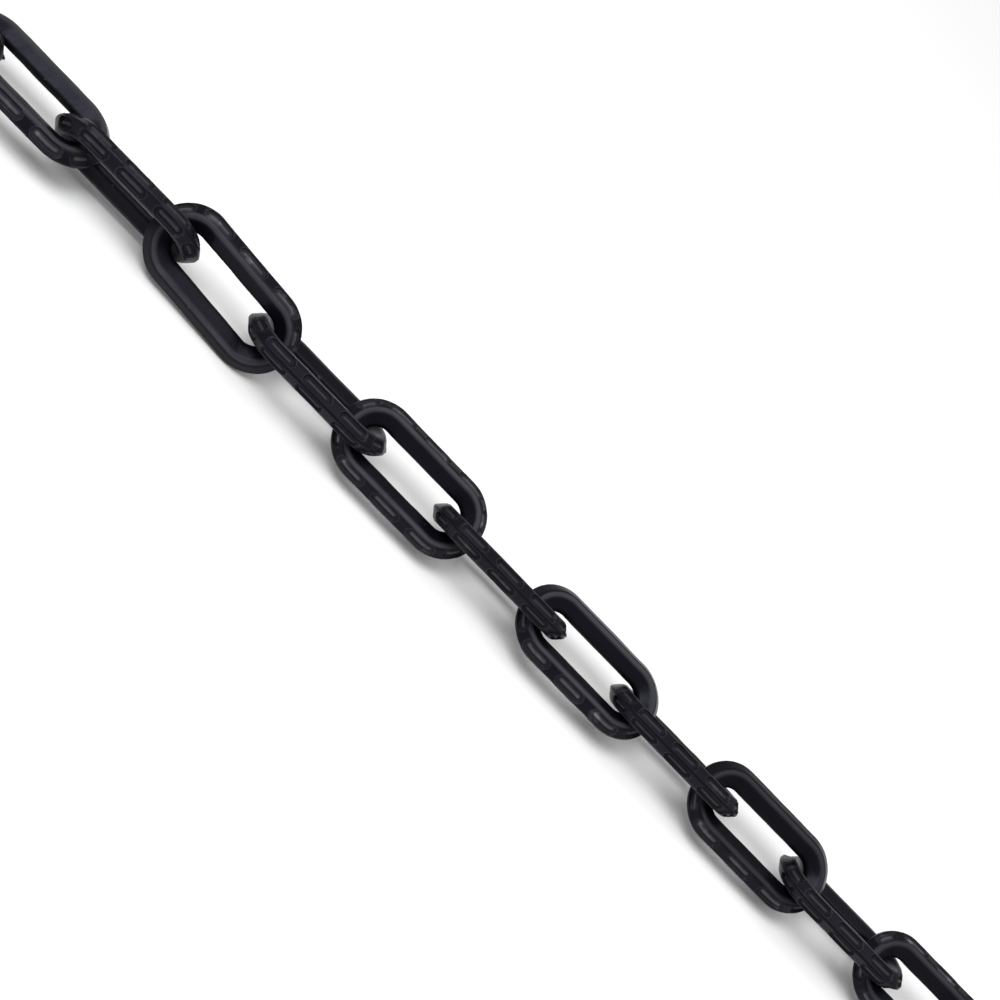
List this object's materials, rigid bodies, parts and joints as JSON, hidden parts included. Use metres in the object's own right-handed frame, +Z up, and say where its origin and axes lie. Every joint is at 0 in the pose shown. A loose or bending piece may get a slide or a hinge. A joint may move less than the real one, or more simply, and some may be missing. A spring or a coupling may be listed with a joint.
{
  "type": "plastic link chain",
  "caption": "Run of interlocked moulded plastic chain links with obround rings, faceted bars and rows of shallow pockets on their outer shoulders.",
  "frame": {"origin": "On the floor under the middle link, at the centre of the run's bounding box in plan", "axes": "+X along the chain from the start eye to the finish eye, +Z up from the floor that it lies on, +Y across"},
  "size_m": [0.7724, 0.025, 0.0238],
  "materials": {
    "chain_plastic": "satin black moulded plastic"
  },
  "bodies": {
    "link_01": {"link_01": "chain_plastic"},
    "link_02": {"link_02": "chain_plastic"},
    "link_03": {"link_03": "chain_plastic"},
    "link_04": {"link_04": "chain_plastic"},
    "link_05": {"link_05": "chain_plastic"},
    "link_06": {"link_06": "chain_plastic"},
    "link_07": {"link_07": "chain_plastic"},
    "link_08": {"link_08": "chain_plastic"},
    "link_09": {"link_09": "chain_plastic"},
    "link_10": {"link_10": "chain_plastic"},
    "link_11": {"link_11": "chain_plastic"},
    "link_12": {"link_12": "chain_plastic"},
    "link_13": {"link_13": "chain_plastic"},
    "link_14": {"link_14": "chain_plastic"},
    "link_15": {"link_15": "chain_plastic"},
    "link_16": {"link_16": "chain_plastic"},
    "link_17": {"link_17": "chain_plastic"},
    "link_18": {"link_18": "chain_plastic"},
    "link_19": {"link_19": "chain_plastic"},
    "link_20": {"link_20": "chain_plastic"},
    "link_21": {"link_21": "chain_plastic"}
  },
  "joints": [
    {"name": "swing_02", "type": "hinge", "parent": "link_01", "child": "link_02", "pos_m": [-0.3378, 0, 0.01226], "axis": [0, -0.5446, 0.8387], "range_deg": [-110, 110]},
    {"name": "swing_03", "type": "hinge", "parent": "link_02", "child": "link_03", "pos_m": [-0.3018, 0, 0.01226], "axis": [0, -0.5446, -0.8387], "range_deg": [-110, 110]},
    {"name": "swing_04", "type": "hinge", "parent": "link_03", "child": "link_04", "pos_m": [-0.2658, 0, 0.01226], "axis": [0, -0.5446, 0.8387], "range_deg": [-110, 110]},
    {"name": "swing_05", "type": "hinge", "parent": "link_04", "child": "link_05", "pos_m": [-0.2298, 0, 0.01226], "axis": [0, 0.866, 0.5], "range_deg": [-110, 110]},
    {"name": "swing_06", "type": "hinge", "parent": "link_05", "child": "link_06", "pos_m": [-0.1938, 0, 0.01226], "axis": [0, 0.1564, -0.9877], "range_deg": [-110, 110]},
    {"name": "swing_07", "type": "hinge", "parent": "link_06", "child": "link_07", "pos_m": [-0.1578, 0, 0.01226], "axis": [0, 0.8192, 0.5736], "range_deg": [-110, 110]},
    {"name": "swing_08", "type": "hinge", "parent": "link_07", "child": "link_08", "pos_m": [-0.1218, 0, 0.01226], "axis": [0, -0.866, 0.5], "range_deg": [-110, 110]},
    {"name": "swing_09", "type": "hinge", "parent": "link_08", "child": "link_09", "pos_m": [-0.0858, 0, 0.01226], "axis": [0, -0.4067, -0.9135], "range_deg": [-110, 110]},
    {"name": "swing_10", "type": "hinge", "parent": "link_09", "child": "link_10", "pos_m": [-0.0498, 0, 0.01226], "axis": [0, -0.5878, 0.809], "range_deg": [-110, 110]},
    {"name": "swing_11", "type": "hinge", "parent": "link_10", "child": "link_11", "pos_m": [-0.0138, 0, 0.01226], "axis": [0, 0.6018, 0.7986], "range_deg": [-110, 110]},
    {"name": "swing_12", "type": "hinge", "parent": "link_11", "child": "link_12", "pos_m": [0.0222, 0, 0.01226], "axis": [0, 0.3907, -0.9205], "range_deg": [-110, 110]},
    {"name": "swing_13", "type": "hinge", "parent": "link_12", "child": "link_13", "pos_m": [0.0582, 0, 0.01226], "axis": [0, 0.5736, 0.8192], "range_deg": [-110, 110]},
    {"name": "swing_14", "type": "hinge", "parent": "link_13", "child": "link_14", "pos_m": [0.0942, 0, 0.01226], "axis": [0, -0.5446, 0.8387], "range_deg": [-110, 110]},
    {"name": "swing_15", "type": "hinge", "parent": "link_14", "child": "link_15", "pos_m": [0.1302, 0, 0.01226], "axis": [0, -0.4226, -0.9063], "range_deg": [-110, 110]},
    {"name": "swing_16", "type": "hinge", "parent": "link_15", "child": "link_16", "pos_m": [0.1662, 0, 0.01226], "axis": [0, -0.6157, 0.788], "range_deg": [-110, 110]},
    {"name": "swing_17", "type": "hinge", "parent": "link_16", "child": "link_17", "pos_m": [0.2022, 0, 0.01226], "axis": [0, 0.5446, 0.8387], "range_deg": [-110, 110]},
    {"name": "swing_18", "type": "hinge", "parent": "link_17", "child": "link_18", "pos_m": [0.2382, 0, 0.01226], "axis": [0, 0.5446, -0.8387], "range_deg": [-110, 110]},
    {"name": "swing_19", "type": "hinge", "parent": "link_18", "child": "link_19", "pos_m": [0.2742, 0, 0.01226], "axis": [0, 0.5446, 0.8387], "range_deg": [-110, 110]},
    {"name": "swing_20", "type": "hinge", "parent": "link_19", "child": "link_20", "pos_m": [0.3102, 0, 0.01226], "axis": [0, -0.5446, 0.8387], "range_deg": [-110, 110]},
    {"name": "swing_21", "type": "hinge", "parent": "link_20", "child": "link_21", "pos_m": [0.3462, 0, 0.01226], "axis": [0, -0.5446, -0.8387], "range_deg": [-110, 110]}
  ]
}
